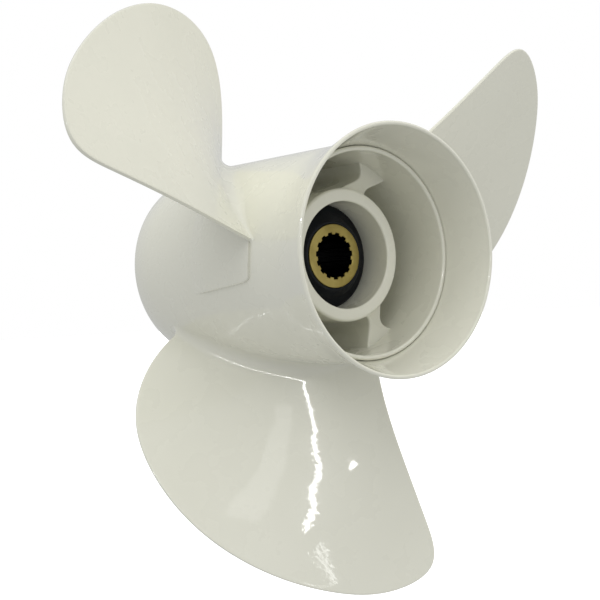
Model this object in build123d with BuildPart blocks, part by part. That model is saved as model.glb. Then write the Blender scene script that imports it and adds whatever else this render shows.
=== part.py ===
from build123d import *
import math
import os

# Right-hand three-blade outboard propeller with its exhaust through the hub, in millimetres.
# The shaft runs along Y: +Y is forward, towards the boat, and -Y is aft, where the exhaust leaves.
# The origin is on the shaft axis, halfway along the splined bush. +Z is up.
# Directions round the shaft are clockwise from +Z as seen from aft.

# Propeller
BLADE_COUNT = 3
BLADE_PITCH = 442.0

# Places along the shaft
LIP_Y = -95.0
SPIGOT_Y = -71.0
SEAM_Y = -61.0
HUB_AFT_Y = -54.6
HUB_FRONT_Y = 57.0
RIB_AFT_Y = -48.0
RIB_FRONT_Y = 50.0
TAPER_Y = 45.0
BARREL_FRONT_Y = 65.0

# Radii from the shaft outwards
SPLINE_MINOR_RADIUS = 10.7
SPLINE_MAJOR_RADIUS = 11.66
RELIEF_RADIUS = 13.0
BUSH_RADIUS = 16.1
HUB_BORE_RADIUS = 26.5
HUB_RADIUS = 33.0
BARREL_BORE_RADIUS = 49.5
SPIGOT_RADIUS = 52.0
BARREL_RADIUS = 53.7
BARREL_FRONT_RADIUS = 50.9
LIP_BORE_RADIUS = 58.4
LIP_RADIUS = 60.5
LIP_FLARE = 0.28
FLARE_MIDDLE = (55.6, -75.0)

# Splined bush and rubber damper
BUSH_LENGTH = 90.0
RELIEF_DEPTH = 8.0
SPLINE_TEETH = 15
TOOTH_TIP_WIDTH = 1.7
TOOTH_ROOT_WIDTH = 2.4
TOOTH_SINK = 0.3
DAMPER_LENGTH = 75.0
DAMPER_CORE_LENGTH = 89.0
RUNNING_GAP = 0.05

# Ribs between the hub and the barrel. Each leans clockwise on its way out and flares at both
# ends. Its sides are clockwise from the rib's direction and outwards from the shaft, and both
# run past the hub and the barrel, which trim them.
RIB_DIRECTION = 30.0
RIB_CLOCKWISE_SIDE = ((3.2, 31.8), (1.1, 37.4), (4.7, 43.0), (10.6, 50.0))
RIB_OTHER_SIDE = ((-10.0, 50.0), (-5.6, 42.8), (-8.9, 36.8), (-15.6, 28.4))

# Blades. The outline is seen along the shaft: sideways from the blade's middle line towards
# the leading edge, and outwards from the shaft. The spine has the axial place at the root.
BLADE_DIRECTION = 193.9
SPINE_Y = -7.7
SPINE_RADIUS = 60.5
RAKE_ANGLE = 18.4
RAKE_CURL = 6.4e-4
BLADE_OUTLINE = (
    (-29.0, 36.0),
    (-41.1, 68.6),
    (-66.4, 123.3),
    (-71.8, 143.5),
    (-54.6, 159.2),
    (-28.0, 163.6),
    (15.0, 154.4),
    (46.5, 132.0),
    (61.4, 97.0),
    (49.0, 63.3),
    (24.0, 36.0),
)
BLADE_ROOT_THICKNESS = 11.0
BLADE_TIP_THICKNESS = 3.4
BLADE_EDGE_THICKNESS = 2.0
BLADE_AFT_SHARE = 0.2

# Edge rounding
FACE_ROUND = 1.0
SPIGOT_ROUND = 1.1
BUSH_CHAMFER = 0.8
DAMPER_ROUND = 2.0
FRONT_ROUND = 0.5

# Construction
SECTION_COUNT = 13
SECTION_STEPS = 8
TOP_CLEARANCE = 0.4
SLOPE_STEP = 0.5
CUT_LENGTH = 400.0
OUTLINE_STEPS = 1000
BISECTIONS = 40

# Angles in degrees: a full turn, and the way to +Z on a plane across the shaft
TURN = 360.0
UPWARDS = -90.0

PROFILE_PLANE = Plane.XY


def save(piece, name):
    """Label a finished piece and write it as parts/NAME.step."""
    piece.label = name
    export_step(piece, f"parts/{name}.step")


def shaft_plane(y):
    """The plane across the shaft at a place along it, facing forward."""
    return Plane(origin=(0, y, 0), x_dir=(1, 0, 0), z_dir=(0, 1, 0))


def make_barrel():
    """The outer exhaust tube, with a spigot aft for the flared ring and a curved front edge."""
    with BuildPart() as barrel:
        with BuildSketch(PROFILE_PLANE):
            with BuildLine():
                bore = Line((BARREL_BORE_RADIUS, BARREL_FRONT_Y), (BARREL_BORE_RADIUS, SPIGOT_Y))
                end = Line(bore @ 1, (SPIGOT_RADIUS, SPIGOT_Y))
                spigot = Line(end @ 1, (SPIGOT_RADIUS, SEAM_Y))
                step = Line(spigot @ 1, (BARREL_RADIUS, SEAM_Y))
                skin = Line(step @ 1, (BARREL_RADIUS, TAPER_Y))
                front = (BARREL_FRONT_RADIUS, BARREL_FRONT_Y)
                nose = TangentArc(skin @ 1, front, tangent=skin % 1)
                Line(nose @ 1, bore @ 0)
            make_face()
        revolve(axis=Axis.Y)
        fillet(barrel.edges().filter_by(GeomType.CIRCLE).group_by(Axis.Y)[0], SPIGOT_ROUND)
        fillet(barrel.edges().filter_by(GeomType.CIRCLE).group_by(Axis.Y)[-1], FRONT_ROUND)
    save(barrel.part, "barrel")


def make_diffuser_ring():
    """The flared ring that is fitted over the spigot and makes the exhaust lip."""
    lip_middle = (LIP_RADIUS + LIP_BORE_RADIUS) / 2
    lip_round = (LIP_RADIUS - LIP_BORE_RADIUS) / 2
    outwards = (LIP_FLARE, -1)
    inwards = (-LIP_FLARE, 1)
    with BuildPart() as diffuser_ring:
        with BuildSketch(PROFILE_PLANE):
            with BuildLine():
                seat = Line((SPIGOT_RADIUS, SPIGOT_Y), (SPIGOT_RADIUS, SEAM_Y))
                seam = Line(seat @ 1, (BARREL_RADIUS, SEAM_Y))
                lip_start = (LIP_RADIUS, LIP_Y + lip_round)
                lip_end = (LIP_BORE_RADIUS, LIP_Y + lip_round)
                flare = Spline(seam @ 1, FLARE_MIDDLE, lip_start, tangents=((0, -1), outwards))
                lip = ThreePointArc(flare @ 1, (lip_middle, LIP_Y), lip_end)
                Spline(lip @ 1, seat @ 0, tangents=(inwards, inwards))
            make_face()
        revolve(axis=Axis.Y)
    save(diffuser_ring.part, "diffuser_ring")


def make_inner_hub():
    """The inner hub, whose plain bore takes the pressed-in damper."""
    with BuildPart() as inner_hub:
        with BuildSketch(shaft_plane(HUB_AFT_Y)):
            Circle(HUB_RADIUS)
            Circle(HUB_BORE_RADIUS, mode=Mode.SUBTRACT)
        extrude(amount=HUB_FRONT_Y - HUB_AFT_Y)
        ends = inner_hub.edges().filter_by(GeomType.CIRCLE)
        fillet(ends.group_by(Axis.Y)[0] + ends.group_by(Axis.Y)[-1], FACE_ROUND)
    save(inner_hub.part, "inner_hub")


def make_rib(number):
    """One leaning rib between the hub and the barrel."""
    turn = RIB_DIRECTION + TURN / BLADE_COUNT * (number - 1)
    across = Vector(1, 0, 0).rotate(Axis.Y, turn)
    with BuildPart() as rib:
        with BuildSketch(Plane(origin=(0, RIB_FRONT_Y, 0), x_dir=across, z_dir=(0, -1, 0))):
            with BuildLine():
                clockwise = Spline(*RIB_CLOCKWISE_SIDE)
                other = Spline(*RIB_OTHER_SIDE)
                Line(clockwise @ 1, other @ 0)
                Line(other @ 1, clockwise @ 0)
            make_face()
            Circle(HUB_RADIUS, mode=Mode.SUBTRACT)
            Circle(BARREL_BORE_RADIUS, mode=Mode.INTERSECT)
        extrude(amount=RIB_FRONT_Y - RIB_AFT_Y)
    save(rib.part, f"rib_{number}")


def make_spline_bush():
    """The brass bush, with an internal spline for the shaft and a plain relief at its front."""
    half = BUSH_LENGTH / 2
    with BuildPart() as spline_bush:
        with BuildSketch(shaft_plane(-half)):
            Circle(BUSH_RADIUS)
            Circle(SPLINE_MAJOR_RADIUS, mode=Mode.SUBTRACT)
            with PolarLocations(0, SPLINE_TEETH, start_angle=UPWARDS):
                with BuildLine():
                    Polyline(
                        (SPLINE_MINOR_RADIUS, -TOOTH_TIP_WIDTH / 2),
                        (SPLINE_MAJOR_RADIUS + TOOTH_SINK, -TOOTH_ROOT_WIDTH / 2),
                        (SPLINE_MAJOR_RADIUS + TOOTH_SINK, TOOTH_ROOT_WIDTH / 2),
                        (SPLINE_MINOR_RADIUS, TOOTH_TIP_WIDTH / 2),
                        close=True,
                    )
                make_face()
        extrude(amount=BUSH_LENGTH)
        with BuildSketch(shaft_plane(half - RELIEF_DEPTH)):
            Circle(RELIEF_RADIUS)
        extrude(amount=RELIEF_DEPTH, mode=Mode.SUBTRACT)
        rims = spline_bush.edges().filter_by(GeomType.CIRCLE).sort_by(SortBy.RADIUS)[-2:]
        chamfer(rims, BUSH_CHAMFER)
    save(spline_bush.part, "spline_bush")


def make_rubber_damper():
    """The rubber sleeve between the bush and the inner hub, coned at its ends."""
    core_radius = BUSH_RADIUS + RUNNING_GAP
    skin_radius = HUB_BORE_RADIUS - RUNNING_GAP
    with BuildPart() as rubber_damper:
        with BuildSketch(PROFILE_PLANE):
            with BuildLine():
                Polyline(
                    (core_radius, -DAMPER_CORE_LENGTH / 2),
                    (skin_radius, -DAMPER_LENGTH / 2),
                    (skin_radius, DAMPER_LENGTH / 2),
                    (core_radius, DAMPER_CORE_LENGTH / 2),
                    close=True,
                )
            make_face()
        revolve(axis=Axis.Y)
        rims = rubber_damper.edges().filter_by(GeomType.CIRCLE).sort_by(SortBy.RADIUS)[-2:]
        fillet(rims, DAMPER_ROUND)
    save(rubber_damper.part, "rubber_damper")


def blade_surface(sideways, outwards):
    """The axial place of the blade's middle surface: a screw, raked and curled aft."""
    radius = math.hypot(sideways, outwards)
    swing = math.degrees(math.atan2(sideways, outwards))
    beyond = radius - SPINE_RADIUS
    screw = BLADE_PITCH * swing / TURN
    return SPINE_Y + screw - beyond * math.tan(math.radians(RAKE_ANGLE)) + RAKE_CURL * beyond**2


def outline_crossing(edge, height, low, high):
    """The sideways place where the outline passes a height, between two places along it."""
    rising = (edge @ high).Y > (edge @ low).Y
    for _ in range(BISECTIONS):
        middle = (low + high) / 2
        if ((edge @ middle).Y < height) == rising:
            low = middle
        else:
            high = middle
    return (edge @ low).X


def blade_side(trailing, leading, height, top, side):
    """Points on one face of a section, from the trailing edge to the leading edge."""
    share = (height - BLADE_OUTLINE[0][1]) / (top - BLADE_OUTLINE[0][1])
    middle = BLADE_ROOT_THICKNESS + (BLADE_TIP_THICKNESS - BLADE_ROOT_THICKNESS) * share
    room = min(1.0, (top - height) / BLADE_ROOT_THICKNESS)
    swell = (middle - BLADE_EDGE_THICKNESS) * room
    if side < 0:
        swell *= BLADE_AFT_SHARE
    else:
        swell *= 1 - BLADE_AFT_SHARE
    points = []
    for step in range(SECTION_STEPS + 1):
        along = step / SECTION_STEPS
        sideways = trailing + (leading - trailing) * along
        fullness = 1 - (2 * along - 1) ** 2
        distance = side * (BLADE_EDGE_THICKNESS / 2 + swell * fullness)
        ahead = blade_surface(sideways + SLOPE_STEP, height)
        behind = blade_surface(sideways - SLOPE_STEP, height)
        slope = (ahead - behind) / (2 * SLOPE_STEP)
        length = math.hypot(1, slope)
        y = blade_surface(sideways, height)
        points.append((sideways - distance * slope / length, y + distance / length))
    return points


def make_blade(number):
    """One blade, lofted through sections from inside the barrel to the tip."""
    turn = BLADE_DIRECTION + TURN / BLADE_COUNT * (number - 1)
    across = Vector(1, 0, 0).rotate(Axis.Y, turn)
    outwards = Vector(0, 0, 1).rotate(Axis.Y, turn)
    with BuildLine() as outline:
        Spline(*BLADE_OUTLINE)
    edge = outline.edges()[0]
    places = [step / OUTLINE_STEPS for step in range(OUTLINE_STEPS + 1)]
    peak = max(places, key=lambda place: (edge @ place).Y)
    top = (edge @ peak).Y
    bottom = BLADE_OUTLINE[0][1]
    with BuildPart() as blade:
        for section in range(SECTION_COUNT):
            share = math.sin(math.pi / 2 * section / (SECTION_COUNT - 1))
            height = bottom + (top - TOP_CLEARANCE - bottom) * share
            trailing = outline_crossing(edge, height, 0, peak)
            leading = outline_crossing(edge, height, peak, 1)
            plane = Plane(origin=outwards * height, x_dir=across, z_dir=outwards)
            flip = 1 if plane.y_dir.Y > 0 else -1
            aft = blade_side(trailing, leading, height, top, -1)
            fore = blade_side(trailing, leading, height, top, 1)
            with BuildSketch(plane):
                with BuildLine():
                    face = Spline(*[(x, flip * y) for x, y in aft])
                    back = Spline(*[(x, flip * y) for x, y in reversed(fore)])
                    Line(face @ 1, back @ 0)
                    Line(back @ 1, face @ 0)
                make_face()
        loft()
        with BuildSketch(shaft_plane(-CUT_LENGTH / 2)):
            Circle(BARREL_RADIUS)
        extrude(amount=CUT_LENGTH, mode=Mode.SUBTRACT)
    save(blade.part, f"blade_{number}")


os.makedirs("parts", exist_ok=True)
make_barrel()
make_diffuser_ring()
make_inner_hub()
make_spline_bush()
make_rubber_damper()
for piece_number in range(1, BLADE_COUNT + 1):
    make_rib(piece_number)
    make_blade(piece_number)
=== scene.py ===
"""Boat propeller: the looks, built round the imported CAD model. Everything here is in metres.

The shaft runs along Y, +Y is forward and -Y is aft, where the exhaust leaves. Directions round the
shaft are clockwise from +Z as seen from aft, so a point is (r sin a, y, r cos a).
"""

import math

import bmesh
import bpy
import numpy as np
from mathutils import Matrix, Vector


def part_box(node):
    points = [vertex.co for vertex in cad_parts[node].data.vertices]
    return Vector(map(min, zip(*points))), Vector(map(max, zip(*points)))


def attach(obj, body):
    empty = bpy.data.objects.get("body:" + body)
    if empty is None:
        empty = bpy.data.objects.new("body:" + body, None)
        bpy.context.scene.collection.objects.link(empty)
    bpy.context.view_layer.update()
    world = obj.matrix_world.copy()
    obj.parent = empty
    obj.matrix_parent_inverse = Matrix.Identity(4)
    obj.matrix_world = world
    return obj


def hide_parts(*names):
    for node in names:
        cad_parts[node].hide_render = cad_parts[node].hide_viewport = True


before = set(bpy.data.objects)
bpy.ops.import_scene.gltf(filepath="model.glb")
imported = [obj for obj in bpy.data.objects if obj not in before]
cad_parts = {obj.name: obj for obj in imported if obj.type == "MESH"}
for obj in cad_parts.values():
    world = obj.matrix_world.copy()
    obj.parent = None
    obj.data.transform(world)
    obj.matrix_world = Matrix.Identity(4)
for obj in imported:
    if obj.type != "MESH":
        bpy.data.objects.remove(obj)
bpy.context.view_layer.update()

MM = 0.001
TURN = 2 * math.pi
AROUND = 288
DAMPER_AROUND = 192
SHARP_ANGLE = math.radians(38)
WELD_DISTANCE = 1e-7
SMALLEST_EDGE = 1e-8

# Places and radii that come from the CAD nodes
barrel_low, barrel_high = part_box("barrel")
ring_low, ring_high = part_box("diffuser_ring")
hub_low, hub_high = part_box("inner_hub")
rib_low, rib_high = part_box("rib_1")
damper_low, damper_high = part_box("rubber_damper")
bush_low, bush_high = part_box("spline_bush")

BARREL_R = barrel_high.x
HUB_R = hub_high.x
DAMPER_R = damper_high.x
BUSH_R = bush_high.x
LIP_R = ring_high.x
LIP_Y = ring_low.y
SPIGOT_Y = barrel_low.y
SEAM_Y = ring_high.y

# Radii and places inside the CAD nodes
HUB_BORE_R = 26.5 * MM
BARREL_BORE_R = 49.5 * MM
SPIGOT_R = 52.0 * MM
BARREL_FRONT_R = 50.9 * MM
TAPER_Y = 45.0 * MM
LIP_BORE_R = 58.4 * MM
SPLINE_MAJOR_R = 11.66 * MM
SPLINE_MINOR_R = 10.7 * MM


# ---------------------------------------------------------------- mesh helpers


def make_object(name, points, faces, material, body, node):
    """A closed mesh piece that rides on a body, and stands for one CAD node if it names one."""
    mesh = bpy.data.meshes.new(name)
    mesh.from_pydata([tuple(map(float, p)) for p in points], [], faces)
    tidy = bmesh.new()
    tidy.from_mesh(mesh)
    bmesh.ops.remove_doubles(tidy, verts=tidy.verts, dist=WELD_DISTANCE)
    bmesh.ops.dissolve_degenerate(tidy, edges=tidy.edges, dist=SMALLEST_EDGE)
    bmesh.ops.recalc_face_normals(tidy, faces=tidy.faces)
    if tidy.calc_volume(signed=True) < 0:
        bmesh.ops.reverse_faces(tidy, faces=tidy.faces)
    tidy.to_mesh(mesh)
    tidy.free()
    mesh.shade_smooth()
    mesh.set_sharp_from_angle(angle=SHARP_ANGLE)
    mesh.materials.append(material)
    piece = bpy.data.objects.new(name, mesh)
    bpy.context.scene.collection.objects.link(piece)
    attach(piece, body)
    if node:
        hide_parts(node)
    return piece


def grid_faces(rows, columns, start=0, close_rows=False, close_columns=False):
    """Quads of a grid of points stored row by row."""
    faces = []
    for i in range(rows if close_rows else rows - 1):
        for j in range(columns if close_columns else columns - 1):
            a, b = i, (i + 1) % rows
            c, d = j, (j + 1) % columns
            corners = (a * columns + c, a * columns + d, b * columns + d, b * columns + c)
            faces.append([start + k for k in corners])
    return faces


def lathe(profile, segments=AROUND):
    """A closed ring: a closed profile of (radius, y) turned round the shaft."""
    points = []
    for radius, y in profile:
        for k in range(segments):
            angle = TURN * k / segments
            points.append((radius * math.sin(angle), y, radius * math.cos(angle)))
    return points, grid_faces(len(profile), segments, 0, True, True)


def rounded(corners, steps=6):
    """A closed profile whose corners (x, y, radius) are rounded with arcs."""
    path = []
    count = len(corners)
    for k, (x, y, radius) in enumerate(corners):
        here = np.array((x, y))
        if radius == 0:
            path.append((x, y))
            continue
        before = np.array(corners[k - 1][:2]) - here
        after = np.array(corners[(k + 1) % count][:2]) - here
        before /= np.linalg.norm(before)
        after /= np.linalg.norm(after)
        half = math.acos(float(np.clip(before @ after, -1, 1))) / 2
        middle = before + after
        centre = here + middle / np.linalg.norm(middle) * radius / math.sin(half)
        start = here + before * radius / math.tan(half) - centre
        end = here + after * radius / math.tan(half) - centre
        swing = math.pi - 2 * half
        for s in range(steps + 1):
            share = s / steps
            spot = math.sin((1 - share) * swing) * start + math.sin(share * swing) * end
            path.append(tuple(centre + spot / math.sin(swing)))
    return path


def bezier(a, b, c, d, steps):
    """Points along a cubic curve, both ends included."""
    a, b, c, d = (np.array(p, float) for p in (a, b, c, d))
    path = []
    for k in range(steps + 1):
        t = k / steps
        s = 1 - t
        path.append(tuple(s**3 * a + 3 * s**2 * t * b + 3 * s * t**2 * c + t**3 * d))
    return path


def smooth_step(share):
    """A soft step from 0 to 1, flat at both ends."""
    return share * share * (3 - 2 * share)


# ---------------------------------------------------------------- materials


class Nodes:
    """A new material, placed by object coordinates, and short calls for adding its nodes."""

    def __init__(self, name):
        self.material = bpy.data.materials.new(name)
        self.material.use_nodes = True
        self.tree = self.material.node_tree
        self.shader = self.tree.nodes["Principled BSDF"]
        self.place = self.add("ShaderNodeTexCoord").outputs["Object"]

    def add(self, kind, **settings):
        node = self.tree.nodes.new(kind)
        for key, value in settings.items():
            setattr(node, key, value)
        return node

    def link(self, source, target):
        self.tree.links.new(source, target)

    def set(self, **values):
        for key, value in values.items():
            self.shader.inputs[key.replace("_", " ")].default_value = value

    def noise(self, scale, detail=2.0, roughness=0.5, place=None):
        node = self.add("ShaderNodeTexNoise")
        node.inputs["Scale"].default_value = scale
        node.inputs["Detail"].default_value = detail
        node.inputs["Roughness"].default_value = roughness
        self.link(place or self.place, node.inputs["Vector"])
        return node.outputs["Fac"]

    def ramp(self, source, low, high, start=0.3, end=0.7):
        """Maps start..end of a source to low..high."""
        node = self.add("ShaderNodeMapRange")
        node.inputs["From Min"].default_value = start
        node.inputs["From Max"].default_value = end
        node.inputs["To Min"].default_value = low
        node.inputs["To Max"].default_value = high
        self.link(source, node.inputs["Value"])
        return node.outputs["Result"]

    def blend_colours(self, share, first, second):
        node = self.add("ShaderNodeMix", data_type="RGBA")
        node.inputs["A"].default_value = (*first, 1)
        node.inputs["B"].default_value = (*second, 1)
        self.link(share, node.inputs["Factor"])
        return node.outputs["Result"]

    def bump(self, height, strength, distance, under=None):
        node = self.add("ShaderNodeBump")
        node.inputs["Strength"].default_value = strength
        node.inputs["Distance"].default_value = distance
        self.link(height, node.inputs["Height"])
        if under:
            self.link(under, node.inputs["Normal"])
        return node.outputs["Normal"]

    def from_axis(self):
        """Distance from the shaft's axis."""
        split = self.add("ShaderNodeSeparateXYZ")
        self.link(self.place, split.inputs[0])
        flat = self.add("ShaderNodeCombineXYZ")
        self.link(split.outputs["X"], flat.inputs["X"])
        self.link(split.outputs["Z"], flat.inputs["Z"])
        length = self.add("ShaderNodeVectorMath", operation="LENGTH")
        self.link(flat.outputs[0], length.inputs[0])
        return length.outputs["Value"]


PAINT_COLOURS = (0.735, 0.73, 0.625), (0.775, 0.77, 0.665)
RUBBER_COLOURS = (0.003, 0.004, 0.006), (0.006, 0.008, 0.011)
BRASS_COLOURS = (0.36, 0.28, 0.085), (0.50, 0.40, 0.13)
# Painted shade: a near-black for the inside of the bush's bore, where shade falls.
BORE_SHADE_COLOUR = (0.006, 0.007, 0.008)
TURNING_PITCH = 0.35 * MM


def gloss_paint():
    """Sprayed enamel over a hand-dressed casting: slow waviness, orange peel and a clear coat."""
    n = Nodes("gloss_paint")
    share = n.ramp(n.noise(9, 3), 0, 1)
    n.link(n.blend_colours(share, *PAINT_COLOURS), n.shader.inputs["Base Color"])
    n.link(n.ramp(n.noise(60, 4), 0.24, 0.32), n.shader.inputs["Roughness"])
    waves = n.bump(n.noise(38, 1.5, 0.4), 0.4, 0.0006)
    peel = n.bump(n.noise(420, 1.0, 0.4), 0.14, 0.00012, waves)
    n.link(peel, n.shader.inputs["Normal"])
    n.link(peel, n.shader.inputs["Coat Normal"])
    n.set(Specular_IOR_Level=0.25, Coat_Weight=0.8, Coat_Roughness=0.04, Coat_IOR=1.5)
    return n.material


def damper_rubber():
    """Moulded rubber, near black with a cool cast, matt with a fine grain."""
    n = Nodes("damper_rubber")
    share = n.ramp(n.noise(70, 4), 0, 1)
    n.link(n.blend_colours(share, *RUBBER_COLOURS), n.shader.inputs["Base Color"])
    n.link(n.ramp(n.noise(240, 3), 0.42, 0.6), n.shader.inputs["Roughness"])
    n.link(n.bump(n.noise(1500, 3), 0.3, 0.0001), n.shader.inputs["Normal"])
    n.set(Specular_IOR_Level=0.2)
    return n.material


def turned_brass():
    """Brass with fine turning marks and slight tarnish, and painted shade darkening its bore."""
    n = Nodes("turned_brass")
    share = n.ramp(n.noise(120, 4), 0, 1)
    clean = n.blend_colours(share, *BRASS_COLOURS)
    # Painted shade: from just inside the aft face, the spline bore is darkened to near black to stand in
    # for the shade down the hole.
    split = n.add("ShaderNodeSeparateXYZ")
    n.link(n.place, split.inputs[0])
    inward = n.ramp(split.outputs["Y"], 0, 1, bush_low.y + 0.2 * MM, bush_low.y + 1.0 * MM)
    bore = n.ramp(n.from_axis(), 1, 0, SPLINE_MAJOR_R + 0.2 * MM, SPLINE_MAJOR_R + 0.6 * MM)
    bore_shade = n.add("ShaderNodeMath", operation="MULTIPLY")
    n.link(inward, bore_shade.inputs[0])
    n.link(bore, bore_shade.inputs[1])
    colour = n.add("ShaderNodeMix", data_type="RGBA")
    n.link(bore_shade.outputs[0], colour.inputs["Factor"])
    n.link(clean, colour.inputs["A"])
    colour.inputs["B"].default_value = (*BORE_SHADE_COLOUR, 1)
    n.link(colour.outputs["Result"], n.shader.inputs["Base Color"])
    n.link(n.ramp(n.noise(300, 3), 0.28, 0.45), n.shader.inputs["Roughness"])
    rings = n.add("ShaderNodeMath", operation="SINE")
    turns = n.add("ShaderNodeMath", operation="MULTIPLY")
    turns.inputs[1].default_value = TURN / TURNING_PITCH
    n.link(n.from_axis(), turns.inputs[0])
    n.link(turns.outputs[0], rings.inputs[0])
    n.link(n.bump(rings.outputs[0], 0.25, 0.00002), n.shader.inputs["Normal"])
    n.set(Metallic=1.0)
    return n.material


def pale_floor():
    """A matt white with a weak glow of its own, so that the floor looks evenly lit."""
    n = Nodes("floor")
    share = n.ramp(n.noise(3, 2), 0, 1)
    n.link(n.blend_colours(share, (0.9, 0.9, 0.9), (0.909, 0.909, 0.909)), n.shader.inputs["Base Color"])
    n.set(Roughness=0.9, Emission_Color=(1, 1, 1, 1), Emission_Strength=0.5)
    return n.material


PAINT = gloss_paint()
RUBBER = damper_rubber()
BRASS = turned_brass()


# ---------------------------------------------------------------- barrel, ring, hub and ribs


TAPER_LEAD = 4.0 * MM
TAPER_STEPS = 10
FRONT_EDGE_ROUND = 0.6 * MM
SPIGOT_ROUND = 1.2 * MM
SPIGOT_PLAY = 0.1 * MM
FLARE_STEPS = 28
LIP_STEPS = 12
HUB_OUTER_ROUND = 1.6 * MM
HUB_BORE_ROUND = 1.0 * MM


def make_barrel():
    """The outer exhaust tube, with its rounded spigot in the mouth and a curved front edge."""
    drop = BARREL_R - BARREL_FRONT_R
    run = barrel_high.y - TAPER_Y
    profile = [(BARREL_R, SEAM_Y), (BARREL_R, TAPER_Y - TAPER_LEAD)]
    for k in range(TAPER_STEPS):
        share = k / TAPER_STEPS
        profile.append((BARREL_R - drop * share**2, TAPER_Y + run * share))
    edge = rounded(
        [
            (BARREL_FRONT_R, barrel_high.y, FRONT_EDGE_ROUND),
            (BARREL_BORE_R, barrel_high.y, FRONT_EDGE_ROUND),
            (BARREL_BORE_R, SPIGOT_Y, SPIGOT_ROUND),
            (SPIGOT_R - SPIGOT_PLAY, SPIGOT_Y, SPIGOT_ROUND),
            (SPIGOT_R - SPIGOT_PLAY, SEAM_Y, 0),
        ]
    )
    points, faces = lathe(profile + edge)
    return make_object("barrel_skin", points, faces, PAINT, "propeller", "barrel")


def make_ring():
    """The flared ring: the exhaust lip, with a narrow gap round the spigot's end."""
    tip = (LIP_R + LIP_BORE_R) / 2
    half = (LIP_R - LIP_BORE_R) / 2
    outside = bezier(
        (BARREL_R, SEAM_Y),
        (BARREL_R, SEAM_Y - 11 * MM),
        (LIP_R - 3.6 * MM, LIP_Y + 13 * MM),
        (LIP_R, LIP_Y + half),
        FLARE_STEPS,
    )
    lip = []
    for k in range(1, LIP_STEPS):
        angle = math.pi * k / LIP_STEPS
        lip.append((tip + half * math.cos(angle), LIP_Y + half - half * math.sin(angle)))
    inside = bezier(
        (LIP_BORE_R, LIP_Y + half),
        (LIP_BORE_R - 2.4 * MM, LIP_Y + 9 * MM),
        (SPIGOT_R + 1.4 * MM, SPIGOT_Y - 5 * MM),
        (SPIGOT_R + 0.25 * MM, SPIGOT_Y + 1.0 * MM),
        FLARE_STEPS,
    )
    seat = [(SPIGOT_R, SPIGOT_Y + 2.0 * MM), (SPIGOT_R, SEAM_Y)]
    points, faces = lathe(outside + lip + inside + seat)
    name = "diffuser_ring"
    return make_object(name + "_skin", points, faces, PAINT, "propeller", name)


def make_hub():
    """The inner hub, with soft rounded ends."""
    profile = rounded(
        [
            (HUB_R, hub_low.y, HUB_OUTER_ROUND),
            (HUB_R, hub_high.y, HUB_OUTER_ROUND),
            (HUB_BORE_R, hub_high.y, HUB_BORE_ROUND),
            (HUB_BORE_R, hub_low.y, HUB_BORE_ROUND),
        ]
    )
    points, faces = lathe(profile)
    return make_object("inner_hub_skin", points, faces, PAINT, "propeller", "inner_hub")


def fillet_rise(gap, radius):
    """How far a fillet of this radius stands out at a distance from the wall it meets."""
    gap = np.clip(gap, 0, radius)
    return radius - np.sqrt(radius**2 - (radius - gap) ** 2)


def unit(vectors):
    """Vectors of length 1 in the same directions."""
    return vectors / np.linalg.norm(vectors, axis=-1, keepdims=True)


def natural_spline(points, count):
    """A smooth curve through the points, and each point's place along it, from 0 to 1."""
    knots = np.r_[0, np.cumsum(np.linalg.norm(np.diff(points, axis=0), axis=1))]
    gaps = np.diff(knots)[:, None]
    slopes = np.diff(points, axis=0) / gaps
    size = len(points)
    matrix = np.eye(size)
    right = np.zeros_like(points)
    for k in range(1, size - 1):
        matrix[k, k - 1:k + 2] = gaps[k - 1, 0], 2 * (gaps[k - 1, 0] + gaps[k, 0]), gaps[k, 0]
        right[k] = 6 * (slopes[k] - slopes[k - 1])
    bend = np.linalg.solve(matrix, right)
    where = np.linspace(0, knots[-1], count)
    span = np.clip(np.searchsorted(knots, where, side="right") - 1, 0, size - 2)
    a = where[:, None] - knots[span][:, None]
    b = knots[span + 1][:, None] - where[:, None]
    g = gaps[span]
    curve = (bend[span] * b**3 + bend[span + 1] * a**3) / (6 * g)
    curve += (points[span] / g - bend[span] * g / 6) * b
    curve += (points[span + 1] / g - bend[span + 1] * g / 6) * a
    return curve, knots / knots[-1]


# Each rib's sides from inside the hub to inside the barrel: clockwise from the rib's direction, and
# outwards from the shaft.
RIB_CLOCKWISE_SIDE = np.array(((3.2, 31.8), (1.1, 37.4), (4.7, 43.0), (10.6, 50.0))) * MM
RIB_OTHER_SIDE = np.array(((-15.6, 28.4), (-8.9, 36.8), (-5.6, 42.8), (-10.0, 50.0))) * MM
RIB_STEPS = 41
RIB_ROUND = 1.0 * MM
RIB_ROUND_STEPS = 6
RIB_DIRECTION = math.radians(30)
BLADE_COUNT = 3


def strip_between(start, count):
    """Quads across a closed loop of points, from each point to its opposite one."""
    faces = []
    for k in range(count // 2 - 1):
        faces.append([start + k, start + k + 1, start + count - 2 - k, start + count - 1 - k])
    return faces


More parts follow.
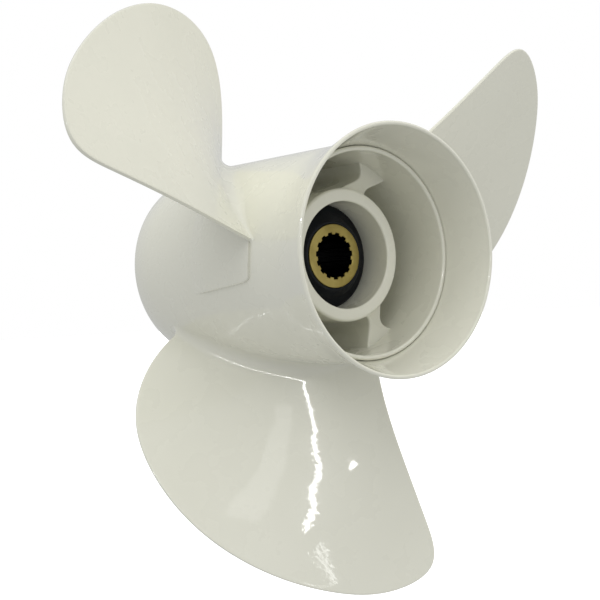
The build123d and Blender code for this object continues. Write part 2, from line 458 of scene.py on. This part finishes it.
def make_rib(number):
    """One leaning rib, flared at the hub and the barrel, with rounded ends."""
    turn = RIB_DIRECTION + TURN / BLADE_COUNT * (number - 1)
    sides = []
    for corners, sign in ((RIB_CLOCKWISE_SIDE, 1), (RIB_OTHER_SIDE, -1)):
        side, _ = natural_spline(corners, RIB_STEPS)
        along = unit(np.gradient(side, axis=0))
        sides.append((side, sign * np.stack([-along[:, 1], along[:, 0]], -1)))
    stations = []
    for angle in np.linspace(math.pi / 2, 0, RIB_ROUND_STEPS + 1):
        y = rib_low.y + RIB_ROUND * (1 - math.sin(angle))
        stations.append((y, RIB_ROUND * (1 - math.cos(angle))))
    stations += [(rib_low.y + rib_high.y - y, inset) for y, inset in stations[::-1]]
    points = []
    for y, inset in stations:
        (right, right_in), (left, left_in) = sides
        loop = np.concatenate([right + inset * right_in, (left + inset * left_in)[::-1]])
        across, out = loop.T
        x = across * math.cos(turn) + out * math.sin(turn)
        z = out * math.cos(turn) - across * math.sin(turn)
        points += list(np.stack([x, np.full(len(x), y), z], -1))
    count = 2 * RIB_STEPS
    faces = grid_faces(len(stations), count, close_columns=True)
    faces += strip_between(0, count) + strip_between(count * (len(stations) - 1), count)
    name = f"rib_{number}"
    return make_object(name + "_skin", points, faces, PAINT, "propeller", name)


# ---------------------------------------------------------------- bush and damper

SPLINE_TEETH = 15
TOOTH_TIP_HALF = 0.85 * MM
TOOTH_ROOT_HALF = 1.2 * MM
RELIEF_R = 13.0 * MM
RELIEF_DEPTH = 8.0 * MM
BUSH_CHAMFER = 0.8 * MM
BORE_CHAMFER = 0.25 * MM
DAMPER_CONE = 7.0 * MM
DAMPER_BOND = 0.05 * MM


def make_bush():
    """The brass bush: a turned sleeve, with chamfered spline teeth down its bore."""
    pitch = TURN / SPLINE_TEETH
    half_tip = math.asin(TOOTH_TIP_HALF / SPLINE_MINOR_R)
    half_root = math.asin(TOOTH_ROOT_HALF / SPLINE_MAJOR_R)
    gap = pitch / 2 - half_root
    around = []
    for tooth in range(SPLINE_TEETH):
        middle = pitch * tooth
        for offset, high in (
            (-half_root - gap, False), (-half_root - gap * 2 / 3, False), (-half_root - gap / 3, False),
            (-half_root, False), (-half_tip, True), (-half_tip / 2, True), (0, True),
            (half_tip / 2, True), (half_tip, True), (half_root, False),
            (half_root + gap / 3, False), (half_root + gap * 2 / 3, False),
        ):
            around.append((middle + offset, SPLINE_MINOR_R if high else SPLINE_MAJOR_R))
    low, high = bush_low.y, bush_high.y
    cut, nick = BUSH_CHAMFER, BORE_CHAMFER
    points = []
    for angle, bore in around:
        profile = [
            (bore, low + nick), (bore + nick, low),
            (BUSH_R - cut, low), (BUSH_R - cut / 3, low + cut / 4), (BUSH_R, low + cut),
            (BUSH_R, high - cut), (BUSH_R - cut, high),
            (RELIEF_R + nick, high), (RELIEF_R, high - nick),
            (RELIEF_R, high - RELIEF_DEPTH), (bore, high - RELIEF_DEPTH),
        ]
        points += [(r * math.sin(angle), y, r * math.cos(angle)) for r, y in profile]
    columns = len(points) // len(around)
    faces = grid_faces(len(around), columns, close_rows=True, close_columns=True)
    return make_object("spline_bush_turned", points, faces, BRASS, "bush", "spline_bush")


def make_damper():
    """The rubber sleeve, with hollow coned ends that run in to the bush."""
    inner = BUSH_R + DAMPER_BOND
    core_y, skin_y = damper_low.y, damper_low.y + DAMPER_CONE
    half = [
        (DAMPER_R, skin_y + 1.2 * MM, 1.0 * MM),
        (DAMPER_R - 1.4 * MM, skin_y, 0.8 * MM),
        (DAMPER_R - 5.0 * MM, skin_y - 1.6 * MM, 3.0 * MM),
        (inner + 1.2 * MM, core_y, 0.8 * MM),
        (inner, core_y, 0.3 * MM),
    ]
    profile = rounded(half + [(r, -y, round_off) for r, y, round_off in half[::-1]], 4)
    points, faces = lathe(profile, DAMPER_AROUND)
    name = "rubber_damper"
    return make_object(name + "_moulded", points, faces, RUBBER, "damper", name)


# ---------------------------------------------------------------- blades

# The middle surface is a screw with rake. OUTLINE is the blade's edge as seen from aft, from the trailing
# root over the tip to the leading root: across the blade, clockwise, and outwards from the shaft.
BLADE_DIRECTION = math.radians(193.9)
BLADE_PITCH = 442.0 * MM
SPINE_Y = -7.7 * MM
SPINE_R = 60.5 * MM
RAKE = math.tan(math.radians(18.4))
RAKE_CURL = 0.64
ROOT_THICKNESS = 11.0 * MM
TIP_THICKNESS = 3.4 * MM
EDGE_HALF = 1.0 * MM
AFT_SHARE = 0.2
ROOT_FILLET = 8.0 * MM
TRAILING_FILLET = 1.2 * MM
LEADING_FILLET = 5.0 * MM
TRAILING_RISE = 0.3
LEADING_FALL = 0.25
SKIRT = 1.2 * MM
SKIRT_SINK = 0.04 * MM
SKIRT_DEPTH = 1.5 * MM
STRAIGHTENING = 12 * MM
OUTLINE = np.array((
    (-29.0, 36.0), (-41.1, 68.6), (-66.4, 123.3), (-71.8, 143.5), (-54.6, 159.2), (-28.0, 163.6),
    (15.0, 154.4), (46.5, 132.0), (61.4, 97.0), (49.0, 63.3), (24.0, 36.0),
)) * MM
TIP_CORNER = 3
LEADING_CORNER = 7
OUTLINE_STEPS = 4001
ACROSS = 60
UPWARDS = 46
FILLET_SHARE = 0.1
FILLET_ROWS = 12
RIM_STEPS = 8


class Outline:
    """The blade's edge, drawn in by half the edge's thickness, as direction and radius."""

    def __init__(self):
        curve, corners = natural_spline(OUTLINE, OUTLINE_STEPS)
        along = unit(np.gradient(curve, axis=0))
        inner = curve + np.c_[along[:, 1], -along[:, 0]] * EDGE_HALF
        self.place = np.linspace(0, 1, len(curve))
        self.angle = np.arctan2(inner[:, 0], inner[:, 1])
        self.radius = np.hypot(inner[:, 0], inner[:, 1])
        self.tip_corner = corners[TIP_CORNER]
        self.leading_corner = corners[LEADING_CORNER]

    def at(self, place):
        """Direction and radius at places along the outline, from 0 to 1."""
        return np.interp(place, self.place, self.angle), np.interp(place, self.place, self.radius)

    def side(self, corner, shares):
        """Places up one side, from the barrel to a corner, evenly spaced in radius."""
        trailing = corner == self.tip_corner
        chosen = self.place <= corner if trailing else self.place >= corner
        radius, place = self.radius[chosen], self.place[chosen]
        if not trailing:
            radius, place = radius[::-1], place[::-1]
        top = radius[-1]
        return np.interp(BARREL_R + (top - BARREL_R) * shares, radius, place)


def blade_surface(angle, radius):
    """The axial place of the blade's middle surface, and its slopes by radius and by angle."""
    beyond = radius - SPINE_R
    y = SPINE_Y + BLADE_PITCH * angle / TURN - beyond * RAKE + RAKE_CURL * beyond**2
    return y, 2 * RAKE_CURL * beyond - RAKE, np.full_like(radius, BLADE_PITCH / TURN)


def surface_normal(angle, radius):
    """The forward normal, as (outwards, clockwise, forward) parts."""
    _, by_radius, by_angle = blade_surface(angle, radius)
    return unit(np.stack([-by_radius, -by_angle / radius, np.ones_like(radius)], axis=-1))


def root_fillet(across):
    """The root fillet's radius: small at the thin trailing edge, full over the blade's middle."""
    rise = smooth_step(np.clip(across / TRAILING_RISE, 0, 1))
    fall = smooth_step(np.clip((across - 1 + LEADING_FALL) / LEADING_FALL, 0, 1))
    fillet = TRAILING_FILLET + (ROOT_FILLET - TRAILING_FILLET) * rise
    return fillet - (ROOT_FILLET - LEADING_FILLET) * fall


def stand_off(angle, radius, direction, distance, fillet):
    """Moves points off the middle surface, and flares them into the root fillet near the barrel.

    Near the barrel the move keeps its radius, so that the root's edge lies on the barrel. Returns the
    angle, radius and y, and the flare's direction as (clockwise, forward) parts.
    """
    y, _, _ = blade_surface(angle, radius)
    hold = smooth_step(np.clip((radius - BARREL_R) / STRAIGHTENING, 0, 1))
    new_radius = radius + hold * distance * direction[..., 0]
    flat = unit(direction[..., 1:])
    flare = fillet_rise(new_radius - BARREL_R, fillet)
    new_angle = angle + (distance * direction[..., 1] + flare * flat[..., 0]) / radius
    new_y = y + distance * direction[..., 2] + flare * flat[..., 1]
    return new_angle, new_radius, new_y, flat


def rim(outline, place, fillet):
    """The rounded edge at places along the outline: a row of points from the fore face to the aft.

    Its section is a squared-off half circle, and outward is away from the blade within its surface.
    """
    angle, radius = outline.at(place)
    normal = surface_normal(angle, radius)
    step = 1e-4
    angle_2, radius_2 = outline.at(np.minimum(place + step, 1))
    angle_1, radius_1 = outline.at(np.maximum(place - step, 0))
    y_2, y_1 = blade_surface(angle_2, radius_2)[0], blade_surface(angle_1, radius_1)[0]
    along = np.stack([radius_2 - radius_1, radius * (angle_2 - angle_1), y_2 - y_1], axis=-1)
    outward = unit(np.cross(along, normal))
    inside = np.stack([-along[..., 1], along[..., 0]], axis=-1)
    points_in = np.sum(outward[..., :2] * inside, axis=-1) > 0
    outward[points_in] *= -1
    turns = np.linspace(0, math.pi, RIM_STEPS + 1)
    cos, sin = np.cos(turns), np.sin(turns)
    reach = (np.abs(cos) ** 3 + np.abs(sin) ** 3) ** (-1 / 3)
    direction = cos[:, None] * normal[:, None, :] + sin[:, None] * outward[:, None, :]
    distance = EDGE_HALF * reach[None, :] * np.ones(len(angle))[:, None]
    angles = np.repeat(angle[:, None], RIM_STEPS + 1, 1)
    radii = np.repeat(radius[:, None], RIM_STEPS + 1, 1)
    return stand_off(angles, radii, direction, distance, fillet)


def blade_grids():
    """The grids of one blade above the barrel: fore face, aft face, and the three rims."""
    outline = Outline()
    rows = np.r_[
        FILLET_SHARE * (1 - np.cos(np.linspace(0, math.pi / 2, FILLET_ROWS))),
        np.linspace(FILLET_SHARE, 1, UPWARDS)[1:],
    ]
    columns = np.linspace(0, 1, ACROSS + 1)
    left = outline.side(outline.tip_corner, rows)
    right = outline.side(outline.leading_corner, rows)
    left[-1], right[-1] = outline.tip_corner, outline.leading_corner
    top = outline.tip_corner + (outline.leading_corner - outline.tip_corner) * columns
    left_line = np.stack(outline.at(left), -1)
    right_line = np.stack(outline.at(right), -1)
    top_line = np.stack(outline.at(top), -1)
    bottom_line = left_line[0] + (right_line[0] - left_line[0]) * columns[:, None]
    u, v = columns[None, :, None], rows[:, None, None]
    ruled = (1 - u) * left_line[:, None] + u * right_line[:, None]
    ruled = ruled + (1 - v) * bottom_line[None] + v * top_line[None]
    corners = (1 - v) * bottom_line[None, 0] * (1 - u) + (1 - v) * bottom_line[None, -1] * u
    corners = corners + v * top_line[None, 0] * (1 - u) + v * top_line[None, -1] * u
    sheet = ruled - corners
    angle, radius = sheet[..., 0], sheet[..., 1]
    normal = surface_normal(angle, radius)
    reach = outline.radius.max()
    share = (radius - BARREL_R) / (reach - BARREL_R)
    middle = ROOT_THICKNESS + (TIP_THICKNESS - ROOT_THICKNESS) * share
    u, v = columns[None, :], rows[:, None]
    extra = (middle - 2 * EDGE_HALF) * 4 * u * (1 - u) * (1 - v**3)
    fillet = root_fillet(u)
    fore = stand_off(angle, radius, normal, EDGE_HALF + (1 - AFT_SHARE) * extra, fillet)
    aft = stand_off(angle, radius, -normal, EDGE_HALF + AFT_SHARE * extra, fillet)
    trailing = rim(outline, left, TRAILING_FILLET)
    leading = rim(outline, right, LEADING_FILLET)
    tip = rim(outline, top, LEADING_FILLET)
    return fore, aft, trailing, leading, tip


def make_blade(number):
    """One blade with a filleted root, on a skirt that runs into the barrel and is closed below."""
    turn = BLADE_DIRECTION + TURN / BLADE_COUNT * (number - 1)

    def place(angle, radius, y):
        return np.stack([radius * np.sin(angle + turn), y, radius * np.cos(angle + turn)], -1)

    fore, aft, trailing, leading, tip = blade_grids()
    points, faces = [], []

    def add(grid):
        start = len(points)
        points.extend(grid.reshape(-1, 3))
        faces.extend(grid_faces(grid.shape[0], grid.shape[1], start))

    for piece in (fore, aft, trailing, leading, tip):
        add(place(*piece[:3]))
    loop = []
    for k in range(4):
        parts = (
            fore[k][0], leading[k][0][1:-1], aft[k][0][::-1], trailing[k][0][1:-1][::-1],
        )
        loop.append(np.concatenate(parts))
    angle, radius, y, flat = loop
    angle_out = angle + SKIRT * flat[:, 0] / BARREL_R
    y_out = y + SKIRT * flat[:, 1]
    rings = np.stack([
        place(angle, radius, y),
        place(angle_out, radius - SKIRT_SINK, y_out),
        place(angle_out, radius - SKIRT_DEPTH, y_out),
    ])
    closed = np.concatenate([rings, rings[:, :1]], axis=1)
    add(closed)
    across = ACROSS + 1
    low = rings[2]
    aft_start = across + RIM_STEPS - 1
    fore_row, aft_row = low[:across], low[aft_start:aft_start + across][::-1]
    add(np.stack([fore_row, aft_row]))
    for end in (low[across - 1:aft_start + 1], np.concatenate([low[aft_start + across - 1:], low[:1]])):
        start = len(points)
        points.extend(end)
        faces.append([start + k for k in range(len(end))])
    name = f"blade_{number}"
    return make_object(name + "_skin", points, faces, PAINT, "propeller", name)


# The land beside each blade's trailing root is a low step in the barrel. LAND_EDGE is its edge, as degrees
# from the blade's direction and mm along the shaft, and LAND_STEP its section: mm in from the edge, and the
# share of the height. It fades out forward.
LAND_EDGE = ((-62.4, 14.0), (-56.4, -41.0), (-54.6, -45.4), (-42.6, -47.8), (-34.0, -47.8))
LAND_HEIGHT = 1.1 * MM
LAND_STEP = ((0, -0.4), (0.06, 0.0), (0.2, 0.45), (0.4, 0.78), (0.65, 0.94), (1.0, 1.0), (1.8, 1.0))
LAND_SPACING = 1.2 * MM
LAND_FADE_END = 12 * MM
LAND_FADE_LENGTH = 22 * MM
LAND_FADED = 0.3 * MM
LAND_UNDERSIDE = 1.2 * MM
LAND_INNER_ROWS = 12


def make_land(number):
    """A low cast land on the barrel, from its edge to under the blade's middle line."""
    turn = BLADE_DIRECTION + TURN / BLADE_COUNT * (number - 1)
    corners = [(math.radians(a) * BARREL_R, y * MM) for a, y in LAND_EDGE]
    path = []
    for (x1, y1), (x2, y2) in zip(corners, corners[1:]):
        steps = max(4, int(math.hypot(x2 - x1, y2 - y1) / LAND_SPACING))
        path += [(x1 + (x2 - x1) * k / steps, y1 + (y2 - y1) * k / steps) for k in range(steps)]
    path.append(corners[-1])
    path = np.array(path)
    path[1:-1] = (path[:-2] + 2 * path[1:-1] + path[2:]) / 4
    along_shaft = path[:, 1]
    under = np.stack([(along_shaft - SPINE_Y) / BLADE_PITCH * TURN * BARREL_R, along_shaft], -1)
    length = np.linalg.norm(under - path, axis=1)
    fade = smooth_step(np.clip((LAND_FADE_END - along_shaft) / LAND_FADE_LENGTH, 0, 1))
    rows = [(d * MM, h * LAND_HEIGHT) for d, h in LAND_STEP]
    tops = []
    for k in range(len(rows) + LAND_INNER_ROWS):
        if k < len(rows):
            along = np.minimum(rows[k][0] / length, 1)
            height = rows[k][1]
        else:
            part = (k - len(rows) + 1) / LAND_INNER_ROWS
            along = np.minimum(rows[-1][0] / length, 1) * (1 - part) + part
            height = LAND_HEIGHT
        spot = path + (under - path) * along[:, None]
        rise = (height + LAND_FADED) * fade - LAND_FADED
        tops.append(np.c_[spot, rise])
    tops = np.array(tops)
    low = tops.copy()
    low[..., 2] = -LAND_UNDERSIDE

    def place(grid):
        angle, radius = grid[..., 0] / BARREL_R + turn, BARREL_R + grid[..., 2]
        return np.stack([radius * np.sin(angle), grid[..., 1], radius * np.cos(angle)], -1)

    points, faces = [], []
    edges = [np.stack([tops[0], low[0]]), np.stack([tops[-1], low[-1]])]
    edges += [np.stack([tops[:, 0], low[:, 0]]), np.stack([tops[:, -1], low[:, -1]])]
    for grid in [tops, low] + edges:
        start = len(points)
        points.extend(place(grid).reshape(-1, 3))
        faces.extend(grid_faces(grid.shape[0], grid.shape[1], start))
    return make_object(f"barrel_land_{number}", points, faces, PAINT, "propeller", None)


make_barrel()
make_ring()
make_hub()
make_bush()
make_damper()
for piece_number in range(1, BLADE_COUNT + 1):
    make_rib(piece_number)
    make_blade(piece_number)
    make_land(piece_number)


# ---------------------------------------------------------------- camera and light


CAMERA_AZIMUTH = math.radians(-37.477)
CAMERA_ROLL = math.radians(2.83)
CAMERA_LENS = 76.04
CAMERA_PLACE = (-0.3988, -0.4399 + LIP_Y, -0.0211)
FLOOR_Z = -0.30
FLOOR_HALF = 12
SUN_ANGLE = math.radians(45)


def stand(place, x_axis, y_axis, z_axis):
    """The matrix that puts an object at a place, with its own axes along these directions."""
    return Matrix.Translation(place) @ Matrix((x_axis, y_axis, z_axis)).transposed().to_4x4()


def make_camera():
    """The camera of the photograph: level, on the aft quarter, with a slight roll."""
    back = Vector((math.sin(CAMERA_AZIMUTH), -math.cos(CAMERA_AZIMUTH), 0))
    right = Vector((math.cos(CAMERA_AZIMUTH), math.sin(CAMERA_AZIMUTH), 0))
    up = Vector((0, 0, 1))
    x_axis = right * math.cos(CAMERA_ROLL) - up * math.sin(CAMERA_ROLL)
    y_axis = right * math.sin(CAMERA_ROLL) + up * math.cos(CAMERA_ROLL)
    data = bpy.data.cameras.new("camera")
    data.sensor_width = 36
    data.lens = CAMERA_LENS
    camera = bpy.data.objects.new("camera", data)
    camera.matrix_world = stand(Vector(CAMERA_PLACE), x_axis, y_axis, back)
    bpy.context.scene.collection.objects.link(camera)
    bpy.context.scene.camera = camera


def highlight(name, start, end, width, power):
    """A strip light from one end to the other, facing the propeller, seen only in its gloss."""
    start, end = Vector(start), Vector(end)
    middle = (start + end) / 2
    along = (end - start).normalized()
    back = (middle - along * middle.dot(along)).normalized()
    data = bpy.data.lights.new(name, "AREA")
    data.shape = "RECTANGLE"
    data.size = (end - start).length
    data.size_y = width
    data.energy = power
    light = bpy.data.objects.new(name, data)
    light.matrix_world = stand(middle, along, back.cross(along), back)
    light.visible_camera = False
    light.visible_diffuse = False
    bpy.context.scene.collection.objects.link(light)


def make_stage():
    """A wide pale floor that only the camera sees, and a white world that is dimmer as a light."""
    mesh = bpy.data.meshes.new("floor")
    half = FLOOR_HALF
    corners = [(-half, -half, 0), (half, -half, 0), (half, half, 0), (-half, half, 0)]
    mesh.from_pydata(corners, [], [(0, 1, 2, 3)])
    floor = bpy.data.objects.new("floor", mesh)
    floor.location.z = FLOOR_Z
    floor.visible_diffuse = False
    floor.visible_glossy = False
    mesh.materials.append(pale_floor())
    bpy.context.scene.collection.objects.link(floor)
    world = bpy.data.worlds.new("studio")
    bpy.context.scene.world = world
    world.use_nodes = True
    tree = world.node_tree
    seen = tree.nodes["Background"]
    seen.inputs["Color"].default_value = (1, 1, 1, 1)
    seen.inputs["Strength"].default_value = 1.0
    light = tree.nodes.new("ShaderNodeBackground")
    light.inputs["Color"].default_value = (0.97, 0.98, 1, 1)
    light.inputs["Strength"].default_value = 0.6
    mix = tree.nodes.new("ShaderNodeMixShader")
    path = tree.nodes.new("ShaderNodeLightPath")
    tree.links.new(path.outputs["Is Camera Ray"], mix.inputs["Fac"])
    tree.links.new(light.outputs[0], mix.inputs[1])
    tree.links.new(seen.outputs[0], mix.inputs[2])
    tree.links.new(mix.outputs[0], tree.nodes["World Output"].inputs["Surface"])


def soft_sun(name, direction, energy, colour=(1, 1, 1)):
    """A broad soft light that comes from a direction and makes no highlight."""
    data = bpy.data.lights.new(name, "SUN")
    data.energy = energy
    data.angle = SUN_ANGLE
    data.color = colour
    sun = bpy.data.objects.new(name, data)
    sun.location = Vector(direction) * 2
    sun.rotation_mode = "QUATERNION"
    sun.rotation_quaternion = (-sun.location).to_track_quat("-Z", "Y")
    sun.visible_glossy = False
    bpy.context.scene.collection.objects.link(sun)


def make_lights():
    """Broad soft light from the left above, weaker and warmer from the right, and highlight strips."""
    soft_sun("key", (-0.61, -0.35, 0.71), 0.8)
    soft_sun("overhead", (0, 0, 1), 0.95)
    soft_sun("right_fill", (0.96, -0.17, 0.21), 1.0, (1, 0.97, 0.89))
    soft_sun("aft_fill", (0.30, -0.94, 0.10), 0.4, (1, 0.97, 0.89))
    highlight("long_strip", (-0.80, -0.55, 0.40), (-0.24, -0.98, 0.19), 0.018, 1.3)
    highlight("left_strip", (-1.00, -0.20, 0.45), (-0.80, -0.55, 0.40), 0.024, 1.2)
    highlight("upper_glow", (-0.60, -0.62, 0.50), (-0.20, -0.90, 0.36), 0.10, 0.22)
    highlight("low_strip", (-0.21, -1.00, 0.12), (-0.14, -1.03, 0.01), 0.012, 0.04)
    highlight("small_lamp", (-0.440, -0.90, 0.13), (-0.420, -0.92, 0.13), 0.02, 0.1)


make_camera()
make_stage()
make_lights()
bpy.context.scene.view_settings.view_transform = "Standard"
